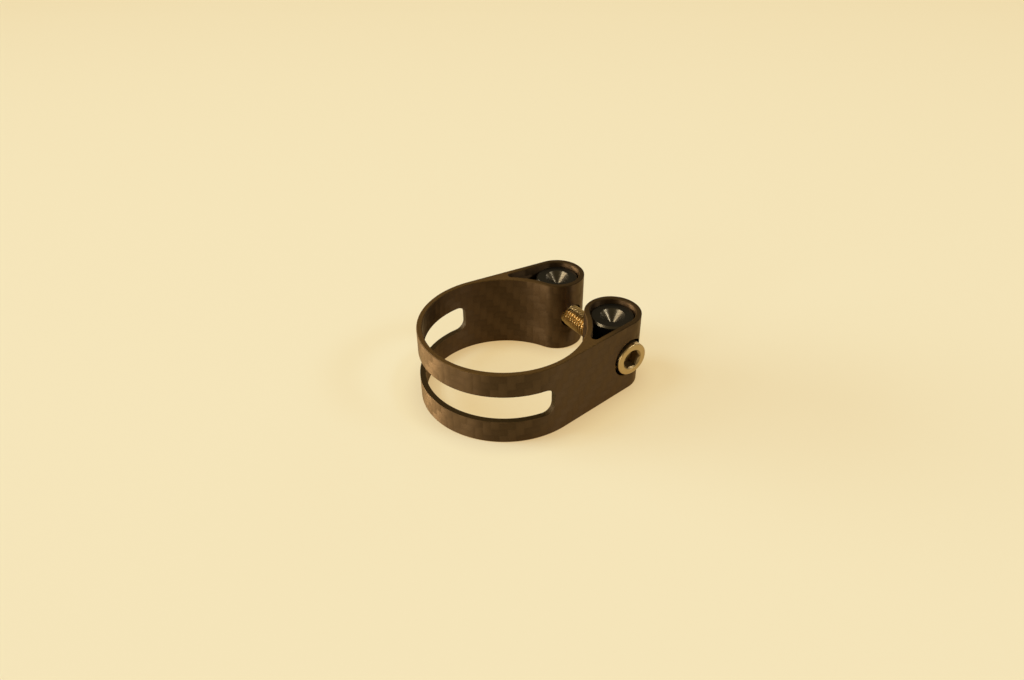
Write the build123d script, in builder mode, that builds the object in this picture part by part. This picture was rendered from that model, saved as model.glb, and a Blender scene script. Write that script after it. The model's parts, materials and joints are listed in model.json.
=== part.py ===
"""Seatpost clamp: a moulded composite band that a bolt draws shut through two loose barrels.

Frame, in millimetres: the origin is on the axis of the bore at the lower edge of the band, Z points
up the seat tube, X points to the opening of the band, and the bolt lies along Y with its head at -Y.
"""

import os
from math import acos, asin, cos, degrees, radians, sqrt

from build123d import *

# Band
BORE_DIAMETER = 34.9
BAND_WALL = 1.2
BAND_HEIGHT = 17.2
LOOP_GAP = 7.4
LOOP_TIP_RADIUS = 0.9
BAND_EDGE_BREAK = 0.15

# Slot round the back of the band, with the angle from the middle of the back to each of its ends
SLOT_HEIGHT = 6.4
SLOT_NEAR_DEGREES = 88.8
SLOT_FAR_DEGREES = 92.3
SLOT_CORNER_RADIUS = 2.2

# Barrels
BARREL_DIAMETER = 9.8
BARREL_LENGTH = 15.2
BARREL_CHAMFER = 0.4
BARREL_PLAY = 0.1
BARREL_CONE_DIAMETER = 5.4
BARREL_CONE_DEPTH = 2.7
HEAD_SEAT_OFFSET = 2.8

# Bolt
BOLT_DIAMETER = 5.0
BOLT_LENGTH = 25.0
BOLT_TIP_CHAMFER = 0.6
HEAD_DIAMETER = 7.6
HEAD_HEIGHT = 4.5
HEAD_CHAMFER = 0.35
SOCKET_WIDTH = 4.0
SOCKET_DEPTH = 2.6
SOCKET_CONE_DEPTH = 0.7
SOCKET_CONE_DEGREES = 60.0

# Radial clearances round the bolt
HEAD_CLEARANCE = 0.6
SHANK_CLEARANCE_IN_BARREL = 0.25
SHANK_CLEARANCE_IN_BAND = 0.4
THREAD_CLEARANCE = 0.05

# Plan of the band: each loop touches the bore circle, and its outer wall is tangent to the ring
bore_radius = BORE_DIAMETER / 2
ring_radius = bore_radius + BAND_WALL
barrel_radius = BARREL_DIAMETER / 2
loop_inner_radius = barrel_radius + BARREL_PLAY
loop_radius = loop_inner_radius + BAND_WALL
loop_distance = bore_radius + loop_radius
loop_y = LOOP_GAP / 2 + loop_radius
loop_x = sqrt(loop_distance**2 - loop_y**2)
loop_angle = degrees(asin(loop_y / loop_distance))
wall_angle = loop_angle + degrees(acos((ring_radius - loop_radius) / loop_distance))

# Heights and places along the bolt
mid_height = BAND_HEIGHT / 2
head_seat = loop_y + HEAD_SEAT_OFFSET
head_pocket_radius = HEAD_DIAMETER / 2 + HEAD_CLEARANCE
bolt_radius = BOLT_DIAMETER / 2
bolt_axis_point = (loop_x, mid_height)

# Planes square to the bolt: their normals point towards the head
near_loop_plane = Plane.XZ.offset(loop_y)
far_loop_plane = Plane.XZ.offset(-loop_y)
head_seat_plane = Plane.XZ.offset(head_seat)
head_face_plane = Plane.XZ.offset(head_seat + HEAD_HEIGHT)

near_loop = (loop_x, -loop_y)
loop_sweep = 180 - loop_angle + wall_angle
ring_sweep = 180 - wall_angle
bore_sweep = 180 - loop_angle

# The cavity's flat wall meets its wall along the bore at a sharp tip, which is rounded afterwards
tip_angle = wall_angle - degrees(acos(bore_radius / ring_radius))
cavity_sweep = tip_angle - loop_angle

# Lower half of the band: the upper half is its mirror image
with BuildPart() as lower_half:
    with BuildSketch() as outline:
        with BuildLine():
            ring_arc = CenterArc((0, 0), ring_radius, 180, ring_sweep)
            loop_arc = CenterArc(near_loop, loop_radius, -wall_angle, loop_sweep)
            bore_arc = CenterArc((0, 0), bore_radius, -loop_angle, -bore_sweep)
            Line(ring_arc @ 1, loop_arc @ 0)
            Line(bore_arc @ 1, ring_arc @ 0)
        make_face()
        mirror(about=Plane.XZ)
    extrude(amount=mid_height)
    with BuildSketch() as cavities:
        with BuildLine():
            nose_arc = CenterArc(near_loop, loop_inner_radius, -wall_angle, loop_sweep)
            inner_arc = CenterArc((0, 0), ring_radius, -loop_angle, -cavity_sweep)
            Line(inner_arc @ 1, nose_arc @ 0)
        make_face()
        fillet(cavities.vertices().sort_by(Axis.X)[0], radius=LOOP_TIP_RADIUS)
        mirror(about=Plane.XZ)
    extrude(amount=mid_height, mode=Mode.SUBTRACT)
    lower_rims = lower_half.edges().group_by(Axis.Z)[0]
    chamfer(lower_rims, length=BAND_EDGE_BREAK)
    for side, slot_angle in ((1, SLOT_NEAR_DEGREES), (-1, SLOT_FAR_DEGREES)):
        slot_end = -ring_radius * cos(radians(slot_angle))
        slot_length = ring_radius + 2 * SLOT_CORNER_RADIUS + slot_end
        with BuildSketch(Plane.XZ):
            with Locations((slot_end - slot_length / 2, mid_height)):
                RectangleRounded(slot_length, SLOT_HEIGHT, SLOT_CORNER_RADIUS)
        extrude(amount=side * (ring_radius + BAND_WALL), mode=Mode.SUBTRACT)
    with BuildSketch(near_loop_plane):
        with Locations(bolt_axis_point):
            Circle(head_pocket_radius)
    extrude(amount=loop_radius + BAND_WALL, mode=Mode.SUBTRACT)
    with BuildSketch(near_loop_plane):
        with Locations(bolt_axis_point):
            Circle(bolt_radius + SHANK_CLEARANCE_IN_BAND)
    extrude(amount=-2 * loop_y, mode=Mode.SUBTRACT)

with BuildPart() as band:
    add(lower_half.part)
    upper_half = mirror(about=Plane.XY.offset(mid_height), mode=Mode.PRIVATE)
    add(upper_half, clean=False)

# Turned blank that both barrels share, centred on the origin with its axis along Z and a cone in each end
with BuildPart() as barrel_blank:
    with BuildSketch(Plane.XZ) as half_section:
        Rectangle(barrel_radius, BARREL_LENGTH, align=(Align.MIN, Align.CENTER))
        chamfer(half_section.vertices().group_by(Axis.X)[-1], length=BARREL_CHAMFER)
        for side in (-1, 1):
            mouth = (0, side * BARREL_LENGTH / 2)
            mouth_rim = (BARREL_CONE_DIAMETER / 2, side * BARREL_LENGTH / 2)
            apex = (0, side * (BARREL_LENGTH / 2 - BARREL_CONE_DEPTH))
            Polygon(mouth, mouth_rim, apex, align=None, mode=Mode.SUBTRACT)
    revolve(axis=Axis.Z)

with BuildPart() as barrel_washer:
    with Locations((loop_x, -loop_y, mid_height)):
        add(barrel_blank.part)
    with BuildSketch(near_loop_plane):
        with Locations(bolt_axis_point):
            Circle(bolt_radius + SHANK_CLEARANCE_IN_BARREL)
    extrude(amount=BARREL_DIAMETER, both=True, mode=Mode.SUBTRACT)
    with BuildSketch(head_seat_plane):
        with Locations(bolt_axis_point):
            Circle(head_pocket_radius)
    extrude(amount=barrel_radius, mode=Mode.SUBTRACT)

with BuildPart() as barrel_nut:
    with Locations((loop_x, loop_y, mid_height)):
        add(barrel_blank.part)
    with BuildSketch(far_loop_plane):
        with Locations(bolt_axis_point):
            Circle(bolt_radius + THREAD_CLEARANCE)
    extrude(amount=BARREL_DIAMETER, both=True, mode=Mode.SUBTRACT)

with BuildPart() as clamp_bolt:
    with BuildSketch(head_seat_plane):
        with Locations(bolt_axis_point):
            Circle(HEAD_DIAMETER / 2)
    extrude(amount=HEAD_HEIGHT)
    head_rim = clamp_bolt.edges().sort_by(Axis.Y)[0]
    chamfer(head_rim, length=HEAD_CHAMFER)
    with BuildSketch(head_seat_plane):
        with Locations(bolt_axis_point):
            Circle(bolt_radius)
    extrude(amount=-BOLT_LENGTH)
    tip_rim = clamp_bolt.edges().sort_by(Axis.Y)[-1]
    chamfer(tip_rim, length=BOLT_TIP_CHAMFER)
    with BuildSketch(head_face_plane):
        with Locations(bolt_axis_point):
            RegularPolygon(SOCKET_WIDTH / 2, 6, major_radius=False)
    extrude(amount=-SOCKET_DEPTH, mode=Mode.SUBTRACT)
    with BuildSketch(head_face_plane.offset(-SOCKET_DEPTH)):
        with Locations(bolt_axis_point):
            Circle(SOCKET_WIDTH / 2)
    extrude(amount=-SOCKET_CONE_DEPTH, taper=SOCKET_CONE_DEGREES, mode=Mode.SUBTRACT)

os.makedirs("parts", exist_ok=True)
band.part.label = "band"
export_step(band.part, "parts/band.step")
barrel_washer.part.label = "barrel_washer"
export_step(barrel_washer.part, "parts/barrel_washer.step")
barrel_nut.part.label = "barrel_nut"
export_step(barrel_nut.part, "parts/barrel_nut.step")
clamp_bolt.part.label = "clamp_bolt"
export_step(clamp_bolt.part, "parts/clamp_bolt.step")
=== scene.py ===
"""Looks of a seatpost clamp: a woven composite band, two black barrels and a golden socket bolt.

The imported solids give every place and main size. Blender works in metres, the sizes of the clamp's
pieces are written in millimetres, and MM turns one into the other. The lengths of the studio are in
metres, apart from those with mm in their names.
"""

import json
import logging
import math
from dataclasses import dataclass
from enum import Enum, IntEnum
from typing import Any, ClassVar, Dict, Optional, Sequence, Tuple, Union

import bmesh
import bpy
import numpy as np
from mathutils import Matrix, Vector


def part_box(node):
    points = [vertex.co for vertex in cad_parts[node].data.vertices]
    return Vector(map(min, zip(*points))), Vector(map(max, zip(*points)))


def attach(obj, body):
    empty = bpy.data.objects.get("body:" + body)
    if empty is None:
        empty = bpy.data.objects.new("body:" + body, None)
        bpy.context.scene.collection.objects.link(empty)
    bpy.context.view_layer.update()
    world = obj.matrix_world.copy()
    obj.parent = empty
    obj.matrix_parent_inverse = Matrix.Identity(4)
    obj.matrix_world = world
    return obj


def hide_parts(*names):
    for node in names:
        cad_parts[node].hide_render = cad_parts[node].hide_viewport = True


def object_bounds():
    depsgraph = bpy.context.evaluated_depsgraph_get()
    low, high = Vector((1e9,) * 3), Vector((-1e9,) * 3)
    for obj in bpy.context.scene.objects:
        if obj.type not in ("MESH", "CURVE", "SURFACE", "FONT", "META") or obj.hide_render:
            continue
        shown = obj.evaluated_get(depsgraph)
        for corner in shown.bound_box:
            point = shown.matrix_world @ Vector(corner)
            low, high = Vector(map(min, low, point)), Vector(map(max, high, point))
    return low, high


MM = 0.001
MERGE_MM = 0.0005
FULL_TURN = 2 * math.pi
GRAIN_DETAIL = 3.0
WEAVE_MAP = "weave"
LOG = logging.getLogger("seatpost_clamp")

Colour = Tuple[float, float, float]
Number = Union[int, float]
Rings = Tuple[np.ndarray, np.ndarray]

BLACK: Colour = (0.0, 0.0, 0.0)
WARM_LIGHT: Colour = (1.0, 0.90, 0.74)

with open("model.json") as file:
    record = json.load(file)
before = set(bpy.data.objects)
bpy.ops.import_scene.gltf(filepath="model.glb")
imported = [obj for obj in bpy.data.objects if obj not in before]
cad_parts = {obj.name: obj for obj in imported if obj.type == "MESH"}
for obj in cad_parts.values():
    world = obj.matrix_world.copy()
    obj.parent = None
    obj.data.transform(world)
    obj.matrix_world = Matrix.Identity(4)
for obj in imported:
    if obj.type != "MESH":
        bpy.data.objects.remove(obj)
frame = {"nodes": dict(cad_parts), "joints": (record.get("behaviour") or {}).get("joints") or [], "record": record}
CAD_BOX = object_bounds()


class Body(Enum):
    """The rigid bodies that a piece can ride on."""

    CLAMP = "clamp"
    BOLT = "bolt"


class Slot(Enum):
    """The record's material slots."""

    COMPOSITE = "composite"
    BARREL = "barrel_metal"
    BOLT = "bolt_metal"


class FaceVector(Enum):
    """The vectors that every face of a mesh has."""

    CENTRE = "center"
    NORMAL = "normal"


class BandFinish(IntEnum):
    """The order of the band's finishes."""

    CLOTH = 0
    RIM = 1
    # The slot's sawn faces, painted darker as shade under the upper strap.
    SAWN_PAINTED_SHADE = 2


class BarrelFinish(IntEnum):
    """The order of a barrel's finishes."""

    TURNED = 0
    POLISHED = 1


class BoltFinish(IntEnum):
    """The order of the bolt's finishes."""

    HEAD = 0
    THREAD = 1
    SOCKET_SHADE = 2


class Op(Enum):
    """The operations of a Math node that the finishes use."""

    ADD = "ADD"
    SUBTRACT = "SUBTRACT"
    MULTIPLY = "MULTIPLY"
    DIVIDE = "DIVIDE"
    FLOOR = "FLOOR"
    FRACT = "FRACT"
    MODULO = "FLOORED_MODULO"
    LESS = "LESS_THAN"


class Signal:
    """One socket of a shader, so that maths on its value reads as a Python expression."""

    def __init__(self, shader: "Shader", socket: bpy.types.NodeSocket) -> None:
        """Wrap a socket of a shader's tree."""
        self.shader = shader
        self.socket = socket

    def math(self, op: Op, other: Union["Signal", Number, None] = None, swap: bool = False) -> "Signal":
        """Add a Math node.

        Args:
            op: The operation.
            other: The second operand, if the operation has one.
            swap: True to put this signal second.

        Returns:
            The node's value.
        """
        operands = [self] if other is None else [self, other]
        if swap:
            operands.reverse()
        inputs = dict(enumerate(operands))
        return self.shader.node("ShaderNodeMath", {"operation": op.value}, inputs)

    def __add__(self, other: Union["Signal", Number]) -> "Signal":
        """Return this plus other."""
        return self.math(Op.ADD, other)

    def __radd__(self, other: Number) -> "Signal":
        """Return other plus this."""
        return self.math(Op.ADD, other)

    def __sub__(self, other: Union["Signal", Number]) -> "Signal":
        """Return this minus other."""
        return self.math(Op.SUBTRACT, other)

    def __rsub__(self, other: Number) -> "Signal":
        """Return other minus this."""
        return self.math(Op.SUBTRACT, other, swap=True)

    def __mul__(self, other: Union["Signal", Number]) -> "Signal":
        """Return this times other."""
        return self.math(Op.MULTIPLY, other)

    def __rmul__(self, other: Number) -> "Signal":
        """Return other times this."""
        return self.math(Op.MULTIPLY, other)

    def __truediv__(self, other: Union["Signal", Number]) -> "Signal":
        """Return this over other."""
        return self.math(Op.DIVIDE, other)

    def __rtruediv__(self, other: Number) -> "Signal":
        """Return other over this."""
        return self.math(Op.DIVIDE, other, swap=True)

    def __mod__(self, other: Number) -> "Signal":
        """Return the remainder of this over other, never negative."""
        return self.math(Op.MODULO, other)

    def __lt__(self, other: Union["Signal", Number]) -> "Signal":
        """Return 1 where this is less than other, and 0 elsewhere."""
        return self.math(Op.LESS, other)

    def floor(self) -> "Signal":
        """Return the whole number below this."""
        return self.math(Op.FLOOR)

    def fract(self) -> "Signal":
        """Return what is left above the whole number below this."""
        return self.math(Op.FRACT)

    def arch(self) -> "Signal":
        """Return a hump that is 0 where this is 0 or 1, and 1 halfway between."""
        return self * (1 - self) * 4

    def blend(self, low: Union["Signal", Number], high: Union["Signal", Number]) -> "Signal":
        """Return low where this is 0, high where it is 1, and a share of both between."""
        return self * (high - low) + low

    def ramp(self, low: Number, high: Number) -> "Signal":
        """Return 0 where this is below low, 1 where it is above high, and a straight rise between."""
        return self.shader.node("ShaderNodeClamp", None, {0: (self - low) / (high - low)})


class Shader:
    """The node tree of a material or of the world."""

    MIX_LOW: ClassVar[int] = 6
    MIX_HIGH: ClassVar[int] = 7
    MIX_RESULT: ClassVar[int] = 2

    def __init__(self, owner: Union[bpy.types.Material, bpy.types.World]) -> None:
        """Start with an empty tree.

        Args:
            owner: The material or world that the tree belongs to.
        """
        self.owner = owner
        owner.use_nodes = True
        self.tree = owner.node_tree
        self.tree.nodes.clear()

    @classmethod
    def for_material(cls, name: str) -> "Shader":
        """Return the tree of a new material of the given name."""
        return cls(bpy.data.materials.new(name))

    def node(
        self,
        kind: str,
        settings: Optional[Dict[str, Any]] = None,
        inputs: Optional[Dict[Union[int, str], Any]] = None,
        output: Union[int, str] = 0,
    ) -> Signal:
        """Add a node.

        Args:
            kind: Blender's name of the node type.
            settings: The node's own properties, set before its sockets.
            inputs: Values or signals by socket name or number.
            output: The socket to return.

        Returns:
            The chosen output as a signal.
        """
        made = self.tree.nodes.new(kind)
        for key, value in (settings or {}).items():
            setattr(made, key, value)
        for key, value in (inputs or {}).items():
            if isinstance(value, Signal):
                self.tree.links.new(value.socket, made.inputs[key])
            else:
                made.inputs[key].default_value = value
        return Signal(self, made.outputs[output])

    def mix_colours(self, share: Signal, low: Union[Colour, Signal], high: Union[Colour, Signal]) -> Signal:
        """Mix two colours.

        Args:
            share: How much of the second colour to take, from 0 to 1.
            low: The first colour.
            high: The second colour.

        Returns:
            The mixed colour.
        """
        ends = [end if isinstance(end, Signal) else opaque(end) for end in (low, high)]
        inputs = {"Factor": share, self.MIX_LOW: ends[0], self.MIX_HIGH: ends[1]}
        return self.node("ShaderNodeMix", {"data_type": "RGBA"}, inputs, self.MIX_RESULT)

    def noise(self, coordinates: Signal, scale: float, detail: float = 2.0) -> Signal:
        """Add smooth noise.

        Args:
            coordinates: Where to take the noise.
            scale: How many waves it has in one unit of the coordinates.
            detail: How many finer layers it has.

        Returns:
            The noise, from 0 to 1.
        """
        inputs = {"Vector": coordinates, "Scale": scale, "Detail": detail}
        return self.node("ShaderNodeTexNoise", {"noise_dimensions": "3D"}, inputs)

    def object_point(self) -> Signal:
        """Return the point on the surface, in metres in the object's own frame."""
        return self.node("ShaderNodeTexCoord", output="Object")

    def coordinate(self, vector: Signal, axis: str) -> Signal:
        """Return one coordinate of a vector."""
        return self.node("ShaderNodeSeparateXYZ", None, {0: vector}, axis)

    def light_path(self, kind: str) -> Signal:
        """Return 1 for the rays of one kind, and 0 for others."""
        return self.node("ShaderNodeLightPath", output=kind)

    def bump(self, height: Signal, distance: float, strength: float = 1.0) -> Signal:
        """Tilt the surface's normal by a height.

        Args:
            height: The height as a share of the distance.
            distance: The greatest height in metres.
            strength: How much of the tilt to take, from 0 to 1.

        Returns:
            The tilted normal.
        """
        inputs = {"Height": height, "Distance": distance, "Strength": strength}
        return self.node("ShaderNodeBump", None, inputs)

    def principled(self, sockets: Dict[str, Any]) -> Signal:
        """Return a Principled BSDF with values or signals by socket name."""
        return self.node("ShaderNodeBsdfPrincipled", None, sockets)

    def close(self, shader: Signal) -> Union[bpy.types.Material, bpy.types.World]:
        """Link a finished shader to the tree's output.

        Args:
            shader: The surface or background shader.

        Returns:
            The material or world that the tree belongs to.
        """
        is_world = isinstance(self.owner, bpy.types.World)
        output = self.tree.nodes.new("ShaderNodeOutputWorld" if is_world else "ShaderNodeOutputMaterial")
        self.tree.links.new(shader.socket, output.inputs["Surface"])
        return self.owner


def opaque(colour: Colour) -> Tuple[float, float, float, float]:
    """Return a colour with full cover, as colour sockets take it."""
    return (*colour, 1.0)


@dataclass(frozen=True)
class WovenFinish:
    """Twill cloth of flat tows under a satin clear coat.

    The piece's weave map runs in millimetres along the band and up it. Each square of one tow's
    width shows the tow along the band or the tow up it, two over and two under, one step on each row.
    The coat is rubbed round the band, which spreads its gloss up and down, most over the tows that run
    the same way.
    """

    tow_mm: float = 1.7
    dark: Colour = (0.081, 0.050, 0.025)
    light: Colour = (0.099, 0.061, 0.030)
    edge_tint: Colour = (1.0, 0.88, 0.70)
    roughness_low: float = 0.44
    roughness_high: float = 0.56
    spread_level: float = 0.82
    spread_upright: float = 0.62
    spread_turn: float = 0.25
    crown_mm: float = 0.035
    fibres_across: float = 14.0
    fibres_along: float = 0.5
    crown_tone: float = 0.45
    upright_tone: float = 0.2
    fibre_tone: float = 0.45
    OVER: ClassVar[int] = 2

    def material(self) -> bpy.types.Material:
        """Make the cloth's material.

        Returns:
            The material, a mix of the tows along the band and those up it.
        """
        shader = Shader.for_material("woven_composite")
        weave = shader.node("ShaderNodeUVMap", {"uv_map": WEAVE_MAP})
        along = shader.coordinate(weave, "X") / self.tow_mm
        upward = shader.coordinate(weave, "Y") / self.tow_mm
        step = (along.floor() + upward.floor()) % (2 * self.OVER)
        upright = step < self.OVER
        along_upright = (step + upward.fract()) / self.OVER
        along_level = (step - self.OVER + along.fract()) / self.OVER
        hump_upright = along.fract().arch() * along_upright.arch()
        hump_level = upward.fract().arch() * along_level.arch()
        crown = upright.blend(hump_level, hump_upright)
        fine = {
            "X": upright.blend(along * self.fibres_along, along * self.fibres_across),
            "Y": upright.blend(upward * self.fibres_across, upward * self.fibres_along),
        }
        fibres = shader.noise(shader.node("ShaderNodeCombineXYZ", None, fine), 1.0)
        tone = crown * self.crown_tone + upright * self.upright_tone + fibres * self.fibre_tone
        sockets = {
            "Base Color": shader.mix_colours(tone, self.dark, self.light),
            "Metallic": 1.0,
            "Specular Tint": opaque(self.edge_tint),
            "Roughness": fibres.blend(self.roughness_low, self.roughness_high),
            "Anisotropic Rotation": self.spread_turn,
            "Normal": shader.bump(crown, self.crown_mm * MM),
        }
        level_tow = shader.principled({**sockets, "Anisotropic": self.spread_level})
        upright_tow = shader.principled({**sockets, "Anisotropic": self.spread_upright})
        mix = {0: upright, 1: level_tow, 2: upright_tow}
        return shader.close(shader.node("ShaderNodeMixShader", None, mix))


@dataclass(frozen=True)
class CutEdgeFinish:
    """The trimmed edge of the laminate: dull resin and fibre ends, with no weave.

    Its tone falls to a share of itself between two places along X, so the loops are darker. This darkening is
    painted shade.
    """

    name: str = "cut_laminate"
    dark: Colour = (0.042, 0.022, 0.005)
    light: Colour = (0.074, 0.039, 0.009)
    grain_per_metre: float = 2600.0
    roughness_low: float = 0.5
    roughness_high: float = 0.7
    gloss: float = 0.12
    gloss_tint: Colour = (1.0, 0.72, 0.38)
    # Share of the tone kept at the loops: painted shade.
    loop_painted_shade: float = 0.40
    fade_from_mm: float = 11.0
    fade_to_mm: float = 18.5

    def material(self) -> bpy.types.Material:
        """Make the cut edge's material.

        Returns:
            The material.
        """
        shader = Shader.for_material(self.name)
        point = shader.object_point()
        grain = shader.noise(point, self.grain_per_metre, GRAIN_DETAIL)
        # Painted shade: the tone falls from one place along X to the other, towards the loops.
        at_shaded_loops = (shader.coordinate(point, "X") / MM).ramp(self.fade_from_mm, self.fade_to_mm)
        tone = at_shaded_loops.blend(1.0, self.loop_painted_shade)
        dark = shader.mix_colours(tone, BLACK, self.dark)
        light = shader.mix_colours(tone, BLACK, self.light)
        sockets = {
            "Base Color": shader.mix_colours(grain, dark, light),
            "Specular IOR Level": self.gloss,
            "Specular Tint": opaque(self.gloss_tint),
            "Roughness": grain.blend(self.roughness_low, self.roughness_high),
        }
        return shader.close(shader.principled(sockets))


@dataclass(frozen=True)
class AnodisedFinish:
    """Black anodised metal with faint lathe lines round the barrel."""

    name: str
    roughness_low: float
    roughness_high: float
    gloss: float
    gloss_tint: Colour = (1.0, 0.84, 0.55)
    dark: Colour = (0.0035, 0.003, 0.0022)
    light: Colour = (0.008, 0.007, 0.005)
    lines_per_metre: float = 9000.0
    line_mm: float = 0.01
    line_strength: float = 0.3

    def material(self) -> bpy.types.Material:
        """Make the barrels' material.

        Returns:
            The material.
        """
        shader = Shader.for_material(self.name)
        height = shader.coordinate(shader.object_point(), "Z")
        level = shader.node("ShaderNodeCombineXYZ", None, {"Z": height})
        lines = shader.noise(level, self.lines_per_metre)
        sockets = {
            "Base Color": shader.mix_colours(lines, self.dark, self.light),
            "Specular IOR Level": self.gloss,
            "Specular Tint": opaque(self.gloss_tint),
            "Roughness": lines.blend(self.roughness_low, self.roughness_high),
            "Normal": shader.bump(lines, self.line_mm * MM, self.line_strength),
        }
        return shader.close(shader.principled(sockets))


@dataclass(frozen=True)
class GoldenFinish:
    """Golden bolt metal, turned and lightly brushed."""

    name: str
    dark: Colour
    light: Colour
    roughness_low: float
    roughness_high: float
    grain_per_metre: float = 3000.0

    def material(self) -> bpy.types.Material:
        """Make the bolt's material.

        Returns:
            The material.
        """
        shader = Shader.for_material(self.name)
        grain = shader.noise(shader.object_point(), self.grain_per_metre, GRAIN_DETAIL)
        sockets = {
            "Base Color": shader.mix_colours(grain, self.dark, self.light),
            "Metallic": 1.0,
            "Roughness": grain.blend(self.roughness_low, self.roughness_high),
        }
        return shader.close(shader.principled(sockets))


def link(name: str, mesh: bpy.types.Mesh, materials: Sequence[bpy.types.Material]) -> bpy.types.Object:
    """Put a mesh into the scene at the origin.

    Args:
        name: The piece's name.
        mesh: The mesh, in metres in the shared frame.
        materials: Its materials, in slot order.

    Returns:
        The new object.
    """
    piece = bpy.data.objects.new(name, mesh)
    bpy.context.scene.collection.objects.link(piece)
    mesh.materials.clear()
    for material in materials:
        mesh.materials.append(material)
    return piece


def seat(piece: bpy.types.Object, body: Body, node: str) -> None:
    """Let a piece ride on a body in place of a solid, and report it.

    Args:
        piece: The piece.
        body: The body that carries it.
        node: The solid that it stands for.
    """
    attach(piece, body.value)
    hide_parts(node)
    LOG.info("%s: %d faces on %s", piece.name, len(piece.data.polygons), body.value)


def smooth(mesh: bpy.types.Mesh, sharp_degrees: float) -> None:
    """Shade a mesh smooth, apart from edges that turn by more than the given angle."""
    mesh.shade_smooth()
    mesh.set_sharp_from_angle(angle=math.radians(sharp_degrees))


def merged_copy(node: str) -> bpy.types.Mesh:
    """Copy a solid's mesh and join its loose triangles.

    Args:
        node: The solid's name.

    Returns:
        The copy, without the normals that the solid came with.
    """
    mesh = frame["nodes"][node].data.copy()
    joined = bmesh.new()
    joined.from_mesh(mesh)
    bmesh.ops.remove_doubles(joined, verts=joined.verts, dist=MERGE_MM * MM)
    joined.to_mesh(mesh)
    joined.free()
    old_normals = mesh.attributes.get("custom_normal")
    if old_normals:
        mesh.attributes.remove(old_normals)
    return mesh


def face_vectors(mesh: bpy.types.Mesh, kind: FaceVector) -> np.ndarray:
    """Read one vector of every face.

    Args:
        mesh: The mesh.
        kind: Which vector to read.

    Returns:
        An array with a row for each face, centres in metres.
    """
    values = np.empty(len(mesh.polygons) * 3)
    mesh.polygons.foreach_get(kind.value, values)
    return values.reshape(-1, 3)


def set_finishes(mesh: bpy.types.Mesh, finishes: np.ndarray) -> None:
    """Give every face the material of the given number."""
    mesh.polygons.foreach_set("material_index", finishes.astype(np.int32))


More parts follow.
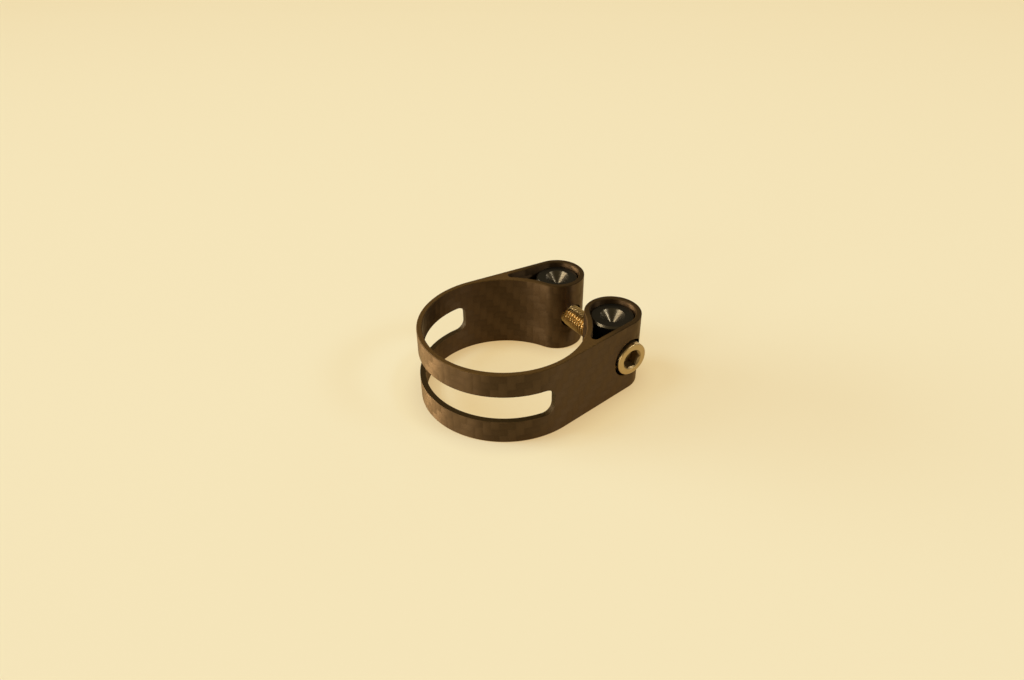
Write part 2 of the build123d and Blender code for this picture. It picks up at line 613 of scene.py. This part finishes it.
@dataclass
class WovenBand:
    """The moulded band, dressed with cloth that follows it round the ring and the loops."""

    loop_x: float
    loop_y: float
    loop_radius: float
    ring_radius: float
    wall: float
    height: float
    NODE: ClassVar[str] = "band"
    BORE_MOUNT: ClassVar[str] = "seat_tube_bore"
    SHARP_DEGREES: ClassVar[float] = 30.0
    MAP_REACH: ClassVar[float] = 0.1
    MAP_SLACK: ClassVar[float] = 0.01
    RIM_LIMIT: ClassVar[float] = 0.5
    RIM_REACH: ClassVar[float] = 1.0
    SLOT_REACH: ClassVar[float] = 1.0
    # The slot's sawn faces are painted darker: painted shade for the shadow that the upper strap casts on them.
    SAWN_SHADE_DARK: ClassVar[Colour] = (0.012, 0.007, 0.0015)
    SAWN_SHADE_LIGHT: ClassVar[Colour] = (0.03, 0.017, 0.004)

    @classmethod
    def from_frame(cls) -> "WovenBand":
        """Work out the band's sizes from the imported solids.

        Returns:
            The band, with its sizes in millimetres.
        """
        low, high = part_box(cls.NODE)
        bore = next(mount for mount in frame["record"]["mounts"] if mount["name"] == cls.BORE_MOUNT)
        bore_radius = bore["dims"]["r_mm"]
        loop_x = frame["joints"][0]["pos_m"][0] / MM
        loop_radius = high[0] / MM - loop_x
        loop_y = math.sqrt((bore_radius + loop_radius) ** 2 - loop_x**2)
        ring_radius = -low[0] / MM
        return cls(loop_x, loop_y, loop_radius, ring_radius, ring_radius - bore_radius, high[2] / MM)

    @staticmethod
    def corners_and_centres(mesh: bpy.types.Mesh) -> Tuple[np.ndarray, np.ndarray]:
        """Read every corner of every face, and the centre of the face that it belongs to.

        Args:
            mesh: The band's mesh.

        Returns:
            The corners and the centres in millimetres, with a row for each corner.
        """
        vertex_of_corner = np.empty(len(mesh.loops), np.int32)
        mesh.loops.foreach_get("vertex_index", vertex_of_corner)
        points = np.empty(len(mesh.vertices) * 3)
        mesh.vertices.foreach_get("co", points)
        sizes = np.empty(len(mesh.polygons), np.int32)
        mesh.polygons.foreach_get("loop_total", sizes)
        centres = np.repeat(face_vectors(mesh, FaceVector.CENTRE), sizes, axis=0)
        return points.reshape(-1, 3)[vertex_of_corner] / MM, centres / MM

    def weave_map(self, mesh: bpy.types.Mesh) -> None:
        """Lay the cloth's map, in millimetres, over the mesh.

        On the ring the first coordinate is the ring's radius times the angle from the back of the band.
        On a loop's outer wall it goes on along the straight wall from where that leaves the ring, and
        then by the loop's radius times the angle round the loop. Where the loop curves back from the
        middle of the gap to the bore it goes on from the bore instead, so the cloth's two ends meet in
        the gap. The second coordinate is the height.

        Args:
            mesh: The band's mesh.
        """
        corners, centres = self.corners_and_centres(mesh)
        side = np.where(centres[:, 1] < 0, -1.0, 1.0)
        x, y = corners[:, 0], corners[:, 1] * side
        distance = math.hypot(self.loop_x, self.loop_y)
        loop_angle = math.asin(self.loop_y / distance)
        wall_angle = loop_angle + math.acos((self.ring_radius - self.loop_radius) / distance)
        forward = np.array([math.sin(wall_angle), -math.cos(wall_angle)])
        start = self.ring_radius * (math.pi - wall_angle)
        straight = self.loop_x * forward[0] + self.loop_y * forward[1]
        bend = math.pi - loop_angle

        round_ring = self.ring_radius * (math.pi - np.mod(np.arctan2(y, x), FULL_TURN))
        along_wall = start + x * forward[0] + y * forward[1]
        loop_turn = np.arctan2(y - self.loop_y, x - self.loop_x)
        turned = np.mod(wall_angle - loop_turn + self.MAP_SLACK, FULL_TURN) - self.MAP_SLACK
        round_loop = start + straight + self.loop_radius * turned
        from_bore = self.ring_radius * bend + self.loop_radius * (loop_turn + bend)

        centre_x, centre_y = centres[:, 0], centres[:, 1] * side
        ahead = centre_x * forward[0] + centre_y * forward[1]
        to_loop = np.hypot(centre_x - self.loop_x, centre_y - self.loop_y)
        outside = np.abs(to_loop - self.loop_radius) < self.MAP_REACH
        inside = np.abs(to_loop - self.loop_radius + self.wall) < self.MAP_REACH
        past_wall = (ahead > straight) | (centre_y < self.loop_y)
        on_loop = (outside | inside) & past_wall
        on_bend = on_loop & (centre_x < self.loop_x) & (centre_y < self.loop_y)
        on_ring = np.hypot(centre_x, centre_y) < self.ring_radius + self.MAP_REACH
        length = np.where((ahead < 0) | on_ring, round_ring, along_wall)
        length = np.where(on_loop, round_loop, length)
        length = np.where(on_bend, from_bore, length)
        weave = np.stack([length * side, corners[:, 2]], axis=1)
        mesh.uv_layers.new(name=WEAVE_MAP).data.foreach_set("uv", weave.ravel())

    def rim_slots(self, mesh: bpy.types.Mesh) -> None:
        """Tell the rims and the sawn faces of the slot, which carry painted shade, from the cloth.

        The rims look up or down at the band's two ends. The slot's faces lie between them, inside the
        thickness of the ring and round the back.

        Args:
            mesh: The band's mesh.
        """
        x, y, z = face_vectors(mesh, FaceVector.CENTRE).T / MM
        at_end = np.minimum(z, self.height - z) < self.RIM_REACH
        steepness = np.abs(face_vectors(mesh, FaceVector.NORMAL)[:, 2])
        depth = self.ring_radius - np.hypot(x, y)
        in_wall = (depth > self.MAP_REACH) & (depth < self.wall - self.MAP_REACH) & (x < self.SLOT_REACH)
        ends = np.where(steepness > self.RIM_LIMIT, BandFinish.RIM, BandFinish.CLOTH)
        sides = np.where(in_wall, BandFinish.SAWN_PAINTED_SHADE, BandFinish.CLOTH)
        set_finishes(mesh, np.where(at_end, ends, sides))

    def build(self) -> None:
        """Put the dressed band in place of its solid."""
        mesh = merged_copy(self.NODE)
        self.weave_map(mesh)
        smooth(mesh, self.SHARP_DEGREES)
        # Sawn faces with painted shade: darker than the rims for the shadow under the upper strap.
        sawn_with_painted_shade = CutEdgeFinish("sawn_slot", self.SAWN_SHADE_DARK, self.SAWN_SHADE_LIGHT)
        finishes = [WovenFinish(), CutEdgeFinish(), sawn_with_painted_shade]
        piece = link("woven_band", mesh, [finish.material() for finish in finishes])
        self.rim_slots(mesh)
        seat(piece, Body.CLAMP, self.NODE)


@dataclass
class Barrels:
    """The two upright barrels, which keep their solids' shape."""

    nodes: Tuple[str, ...] = ("barrel_washer", "barrel_nut")
    sharp_degrees: float = 30.0
    end_reach: float = 3.0
    slope_low: float = 0.5
    slope_high: float = 0.9

    def end_slots(self, mesh: bpy.types.Mesh) -> None:
        """Tell the sloping faces at the ends, which are the cones and the chamfers, from the others.

        Args:
            mesh: A barrel's mesh.
        """
        z = face_vectors(mesh, FaceVector.CENTRE)[:, 2] / MM
        steepness = np.abs(face_vectors(mesh, FaceVector.NORMAL)[:, 2])
        at_end = np.minimum(z - z.min(), z.max() - z) < self.end_reach
        sloping = (steepness > self.slope_low) & (steepness < self.slope_high)
        set_finishes(mesh, np.where(at_end & sloping, BarrelFinish.POLISHED, BarrelFinish.TURNED))

    def build(self) -> None:
        """Put both barrels, turned and polished, in place of their solids."""
        turned = AnodisedFinish("black_anodised", roughness_low=0.18, roughness_high=0.30, gloss=0.22)
        polished = AnodisedFinish("black_polished", roughness_low=0.22, roughness_high=0.30, gloss=1.0)
        materials = [turned.material(), polished.material()]
        for node in self.nodes:
            mesh = merged_copy(node)
            smooth(mesh, self.sharp_degrees)
            piece = link(f"turned_{node}", mesh, materials)
            self.end_slots(mesh)
            seat(piece, Body.CLAMP, node)


@dataclass
class ThreadedBolt:
    """The socket bolt, one closed surface from the bottom of its socket to its tip.

    Every ring of points lies across the bolt's axis, and the rings follow each other along the profile.
    """

    axis_x: float
    axis_z: float
    head_face: float
    length: float
    head_radius: float
    head_height: float = 4.5
    head_edge: float = 0.35
    under_edge: float = 0.15
    neck: float = 0.05
    shank_radius: float = 2.5
    pitch: float = 0.8
    thread_depth: float = 0.46
    thread_start: float = 0.6
    crest_share: float = 0.14
    flank_share: float = 0.62
    tip_chamfer: float = 0.6
    tip_core: float = 0.02
    socket_width: float = 4.0
    socket_depth: float = 2.6
    socket_cone: float = 0.7
    socket_mouth: float = 2.42
    mouth_margin: float = 0.03
    face_depth: float = 0.02
    columns: int = 96
    edge_rings: int = 9
    ring_step: float = 0.05
    sharp_degrees: float = 32.0
    NODE: ClassVar[str] = "clamp_bolt"
    FLOOR_SHARES: ClassVar[Tuple[float, ...]] = (0.02, 0.3, 0.6, 0.85, 1.0)
    WALL_SHARES: ClassVar[Tuple[float, ...]] = (0.02, 0.5, 0.98, 1.0)

    @classmethod
    def from_frame(cls) -> "ThreadedBolt":
        """Work out the bolt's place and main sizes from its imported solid.

        Returns:
            The bolt, with its sizes in millimetres.
        """
        low, high = (np.array(corner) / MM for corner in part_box(cls.NODE))
        middle = (low + high) / 2
        return cls(middle[0], middle[2], low[1], high[1] - low[1], (high[0] - low[0]) / 2)

    def hexagon(self, angle: np.ndarray) -> np.ndarray:
        """Work out the socket's radius: half its width over the cosine from the nearest flat.

        Args:
            angle: Angles round the bolt's axis.

        Returns:
            The radius at each angle.
        """
        sixth = FULL_TURN / 6
        from_flat = np.mod(angle, sixth) - sixth / 2
        return self.socket_width / 2 / np.cos(from_flat)

    def socket_rings(self, angle: np.ndarray) -> Rings:
        """Lay rings from the socket's floor to its mouth.

        The floor is a shallow drill cone that goes over into a flat at the hexagon, the walls follow the
        hexagon, and the mouth is a cone that cuts deeper at the flats than at the corners.

        Args:
            angle: Angles round the bolt's axis.

        Returns:
            The radius and the depth below the head's face, with a row for each ring.
        """
        hexagon = self.hexagon(angle)
        floor_radius = np.outer(self.FLOOR_SHARES, hexagon)
        cone = np.clip(1 - floor_radius / (self.socket_width / 2), 0, 1)
        floor_depth = self.socket_depth + self.socket_cone * cone
        mouth = self.socket_mouth - hexagon
        wall_depth = self.socket_depth + np.outer(self.WALL_SHARES, mouth - self.socket_depth)
        wall_radius = np.broadcast_to(hexagon, wall_depth.shape)
        return np.vstack([floor_radius, wall_radius]), np.vstack([floor_depth, wall_depth])

    def head_rings(self, angle: np.ndarray) -> Rings:
        """Lay rings over the head, with a quarter circle round the edge of its face.

        Args:
            angle: Angles round the bolt's axis.

        Returns:
            The radius and the depth below the head's face, with a row for each ring.
        """
        turn = np.linspace(0, FULL_TURN / 4, self.edge_rings)
        edge_radius = self.head_radius - self.head_edge + self.head_edge * np.sin(turn)
        edge_depth = self.head_edge * (1 - np.cos(turn))
        under = self.head_height
        below = [
            (self.head_radius, under - self.under_edge),
            (self.head_radius - self.under_edge, under),
            (self.shank_radius + self.neck, under),
            (self.shank_radius, under + self.neck),
        ]
        face = [(self.socket_mouth, 0.0), (self.socket_mouth + self.mouth_margin, 0.0)]
        profile = np.vstack([face, np.stack([edge_radius, edge_depth], axis=1), below])
        flat = np.ones_like(angle)
        return np.outer(profile[:, 0], flat), np.outer(profile[:, 1], flat)

    def thread_rings(self, angle: np.ndarray) -> Rings:
        """Lay rings along the thread, and close in at the tip.

        The radius falls from crest to root and back once a pitch, and its phase turns once a pitch with
        the angle, as a right-hand thread does. The groove fades in below the head, and a cone cuts the tip.

        Args:
            angle: Angles round the bolt's axis.

        Returns:
            The radius and the depth below the head's face, with a row for each ring.
        """
        start = self.head_height + 2 * self.neck
        depths = np.append(np.arange(start, self.length, self.ring_step), self.length)[:, None]
        phase = np.mod(depths / self.pitch + angle[None, :] / FULL_TURN, 1.0)
        slope = 1 - np.abs(2 * phase - 1)
        groove = np.clip((slope - self.crest_share) / self.flank_share, 0, 1)
        fade = np.clip((depths - self.head_height - self.thread_start) / self.pitch, 0, 1)
        radius = self.shank_radius - self.thread_depth * groove * fade
        cone = self.shank_radius - np.clip(depths - (self.length - self.tip_chamfer), 0, None)
        radius = np.vstack([np.minimum(radius, cone), np.full_like(angle, self.tip_core)])
        depth = np.broadcast_to(np.vstack([depths, [[self.length]]]), radius.shape)
        return radius, depth

    def mesh(self) -> bpy.types.Mesh:
        """Join the rings by squares and cap both ends.

        Returns:
            The closed mesh, in metres.
        """
        angle = np.linspace(0, FULL_TURN, self.columns, endpoint=False)
        parts = [self.socket_rings(angle), self.head_rings(angle), self.thread_rings(angle)]
        radius, depth = (np.vstack(rows) for rows in zip(*parts))
        x = self.axis_x + radius * np.cos(angle)
        y = self.head_face + depth
        z = self.axis_z + radius * np.sin(angle)
        points = np.stack([x, y, z], axis=-1).reshape(-1, 3) * MM
        row = np.arange(len(radius) - 1)[:, None] * self.columns
        column = np.arange(self.columns)
        after = (column + 1) % self.columns
        below = row + self.columns
        squares = np.stack([row + column, row + after, below + after, below + column], axis=-1)
        first_cap = column[::-1].tolist()
        last_cap = (column + len(points) - self.columns).tolist()
        mesh = bpy.data.meshes.new("threaded_bolt")
        mesh.from_pydata(points.tolist(), [], squares.reshape(-1, 4).tolist() + [first_cap, last_cap])
        mesh.validate()
        return mesh

    def finish_slots(self, mesh: bpy.types.Mesh) -> None:
        """Tell the faces beyond the head and those in the socket, which are painted darker as shade, from the
        head's own.

        Args:
            mesh: The bolt's mesh.
        """
        x, y, z = face_vectors(mesh, FaceVector.CENTRE).T / MM
        depth = y - self.head_face
        below_face = (depth > self.face_depth) & (depth < self.head_height)
        in_socket = below_face & (np.hypot(x - self.axis_x, z - self.axis_z) < self.socket_mouth)
        head = np.where(in_socket, BoltFinish.SOCKET_SHADE, BoltFinish.HEAD)
        set_finishes(mesh, np.where(depth > self.head_height, BoltFinish.THREAD, head))

    def build(self) -> None:
        """Put the threaded bolt in place of its solid."""
        mesh = self.mesh()
        smooth(mesh, self.sharp_degrees)
        finishes = [
            GoldenFinish(
                "golden_head",
                dark=(0.43, 0.305, 0.14),
                light=(0.54, 0.395, 0.19),
                roughness_low=0.24,
                roughness_high=0.40,
            ),
            # The thread is darker and more coppery than the head: painted shade in the gap and painted reflection
            # of the brown band.
            GoldenFinish(
                "copper_thread",
                dark=(0.22, 0.136, 0.052),
                light=(0.47, 0.335, 0.14),
                roughness_low=0.27,
                roughness_high=0.42,
            ),
            # The socket's walls and mouth take a darker finish: painted shade in the recess.
            GoldenFinish(
                "dark_socket",
                dark=(0.24, 0.17, 0.08),
                light=(0.38, 0.27, 0.13),
                roughness_low=0.42,
                roughness_high=0.56,
            ),
        ]
        piece = link("threaded_bolt", mesh, [finish.material() for finish in finishes])
        self.finish_slots(mesh)
        seat(piece, Body.BOLT, self.NODE)


@dataclass(frozen=True)
class Lamp:
    """A soft flat lamp that looks at the clamp.

    Its azimuth and elevation are in degrees, its distance and size in metres, its power in watts.
    """

    name: str
    azimuth: float
    elevation: float
    distance: float
    width: float
    height: float
    power: float
    colour: Colour
    SPREAD_DEGREES: ClassVar[float] = 60.0

    def build(self, target: Vector) -> None:
        """Add the lamp to the scene.

        Args:
            target: The point that the lamp looks at.
        """
        data = bpy.data.lights.new(self.name, "AREA")
        data.shape = "RECTANGLE"
        data.size = self.width
        data.size_y = self.height
        data.spread = math.radians(self.SPREAD_DEGREES)
        data.energy = self.power
        data.color = self.colour
        lamp = bpy.data.objects.new(self.name, data)
        bpy.context.scene.collection.objects.link(lamp)
        turn = math.radians(self.azimuth)
        rise = math.radians(self.elevation)
        level = math.cos(rise)
        outward = Vector((math.cos(turn) * level, math.sin(turn) * level, math.sin(rise)))
        lamp.visible_camera = False
        lamp.location = target + outward * self.distance
        lamp.rotation_euler = (-outward).to_track_quat("-Z", "Y").to_euler()


@dataclass
class Studio:
    """A pale cream floor, soft light from the left, and the camera of the photograph.

    The camera's angles, distance, offsets and focal length in pixels come from fitting the clamp's
    outline to the photograph, with the bore at its real size.
    """

    floor_half: float = 3.0
    floor_colour: Colour = (0.86, 0.74, 0.475)
    floor_low: float = 0.97
    floor_grain: float = 90.0
    floor_glow: Colour = (0.728, 0.512, 0.218)
    floor_shade: Colour = (0.134, 0.208, 0.235)
    # Glow where the floor is hemmed in by the clamp: a painted contact shadow.
    painted_contact_shadow: Colour = (0.49, 0.28, 0.09)
    contact_mm: float = 5.0
    contact_samples: int = 16
    far_from: float = 0.40
    far_to: float = 0.90
    sky_colour: Colour = (1.0, 0.97, 0.93)
    sky_light: float = 0.25
    sky_in_gloss: float = 0.29
    sky_behind: Colour = (0.875, 0.71, 0.405)
    image_width: float = 1024.0
    sensor_mm: float = 36.0
    focal_pixels: float = 808.973
    elevation: float = 35.205
    azimuth: float = -34.12
    roll: float = -0.512
    distance_mm: float = 181.093
    right_mm: float = 1.447
    up_mm: float = 10.256
    near_clip: float = 0.01
    # Each lamp has its name, azimuth, elevation, distance, width, height, power and colour.
    LAMPS: ClassVar[Tuple[Lamp, ...]] = (
        Lamp("window", 136, 9, 13.0, 10.0, 4.0, 620.0, WARM_LIGHT),
        Lamp("window_edge", 189, 10, 13.0, 3.4, 4.0, 76.0, WARM_LIGHT),
        Lamp("top", 140, 33, 1.5, 0.60, 0.40, 0.65, (1.0, 0.86, 0.70)),
        Lamp("front", 308, 35.5, 1.5, 0.52, 0.24, 0.80, (1.0, 0.97, 0.92)),
        Lamp("right", 15, 20, 1.5, 0.9, 0.6, 0.45, WARM_LIGHT),
        Lamp("high", 150, 55, 1.5, 0.5, 0.5, 1.3, (1.0, 0.92, 0.80)),
    )

    def floor_material(self) -> bpy.types.Material:
        """Make the floor's material.

        In view and in a gloss the floor glows and takes a soft shadow, with painted contact shadow where the
        clamp touches it, and far away it runs into the background. To other light it is plain.

        Returns:
            The material.
        """
        shader = Shader.for_material("pale_floor")
        point = shader.object_point()
        grain = shader.noise(point, self.floor_grain, GRAIN_DETAIL)
        low = tuple(self.floor_low * part for part in self.floor_colour)
        plain = shader.mix_colours(grain, low, self.floor_colour)
        in_view = shader.light_path("Is Camera Ray")
        seen = in_view + shader.light_path("Is Glossy Ray")
        # Painted contact shadow: ambient occlusion darkens the glow near the clamp.
        near = {"Distance": self.contact_mm * MM}
        samples = {"samples": self.contact_samples}
        openness = shader.node("ShaderNodeAmbientOcclusion", samples, near, "AO")
        glow_with_painted_shadow = shader.mix_colours(openness, self.painted_contact_shadow, self.floor_glow)
        glow = shader.mix_colours(seen, BLACK, glow_with_painted_shadow)
        base = shader.mix_colours(seen, plain, self.floor_shade)
        distance = shader.node("ShaderNodeVectorMath", {"operation": "LENGTH"}, {0: point}, "Value")
        far = distance.ramp(self.far_from, self.far_to) * in_view
        sockets = {
            "Base Color": shader.mix_colours(far, base, BLACK),
            "Emission Color": shader.mix_colours(far, glow, self.sky_behind),
            "Emission Strength": 1.0,
            "Roughness": 1.0,
            "Specular IOR Level": 0.0,
        }
        return shader.close(shader.principled(sockets))

    def floor(self) -> None:
        """Lay the floor under the clamp's lower edge."""
        half = self.floor_half
        corners = [(-half, -half, 0.0), (half, -half, 0.0), (half, half, 0.0), (-half, half, 0.0)]
        mesh = bpy.data.meshes.new("floor")
        mesh.from_pydata(corners, [], [(0, 1, 2, 3)])
        link("floor", mesh, [self.floor_material()])

    def world(self) -> None:
        """Fill the room with soft light of one strength for gloss and another for the rest."""
        shader = Shader(bpy.data.worlds.new("soft_room"))
        in_gloss = shader.light_path("Is Glossy Ray")
        in_view = shader.light_path("Is Camera Ray")
        strength = in_view.blend(in_gloss.blend(self.sky_light, self.sky_in_gloss), 1.0)
        colour = shader.mix_colours(in_view + in_gloss, self.sky_colour, self.sky_behind)
        light = shader.node("ShaderNodeBackground", None, {"Color": colour, "Strength": strength})
        bpy.context.scene.world = shader.close(light)

    def camera(self) -> None:
        """Place the camera of the photograph."""
        rise, turn, roll = (math.radians(a) for a in (self.elevation, self.azimuth, self.roll))
        level = math.cos(rise)
        back = Vector((math.sin(turn) * level, -math.cos(turn) * level, math.sin(rise)))
        level_right = Vector((math.cos(turn), math.sin(turn), 0.0))
        level_up = back.cross(level_right)
        right = level_right * math.cos(roll) + level_up * math.sin(roll)
        up = level_up * math.cos(roll) - level_right * math.sin(roll)
        eye = (back * self.distance_mm + right * self.right_mm + up * self.up_mm) * MM
        data = bpy.data.cameras.new("camera")
        data.sensor_width = self.sensor_mm
        data.lens = self.focal_pixels / self.image_width * self.sensor_mm
        data.clip_start = self.near_clip
        camera = bpy.data.objects.new("camera", data)
        bpy.context.scene.collection.objects.link(camera)
        turned = Matrix((right, up, back)).transposed()
        camera.matrix_world = Matrix.Translation(eye) @ turned.to_4x4()
        bpy.context.scene.camera = camera

    def build(self) -> None:
        """Set up floor, light and camera."""
        low, high = (Vector(corner) for corner in CAD_BOX)
        self.floor()
        self.world()
        for lamp in self.LAMPS:
            lamp.build((low + high) / 2)
        self.camera()
        bpy.context.scene.view_settings.view_transform = "Standard"


def main() -> None:
    """Dress the clamp piece by piece and set up the studio."""
    logging.basicConfig(level=logging.INFO, format="%(name)s: %(message)s")
    WovenBand.from_frame().build()
    Barrels().build()
    ThreadedBolt.from_frame().build()
    Studio().build()


if __name__ == "__main__":
    main()
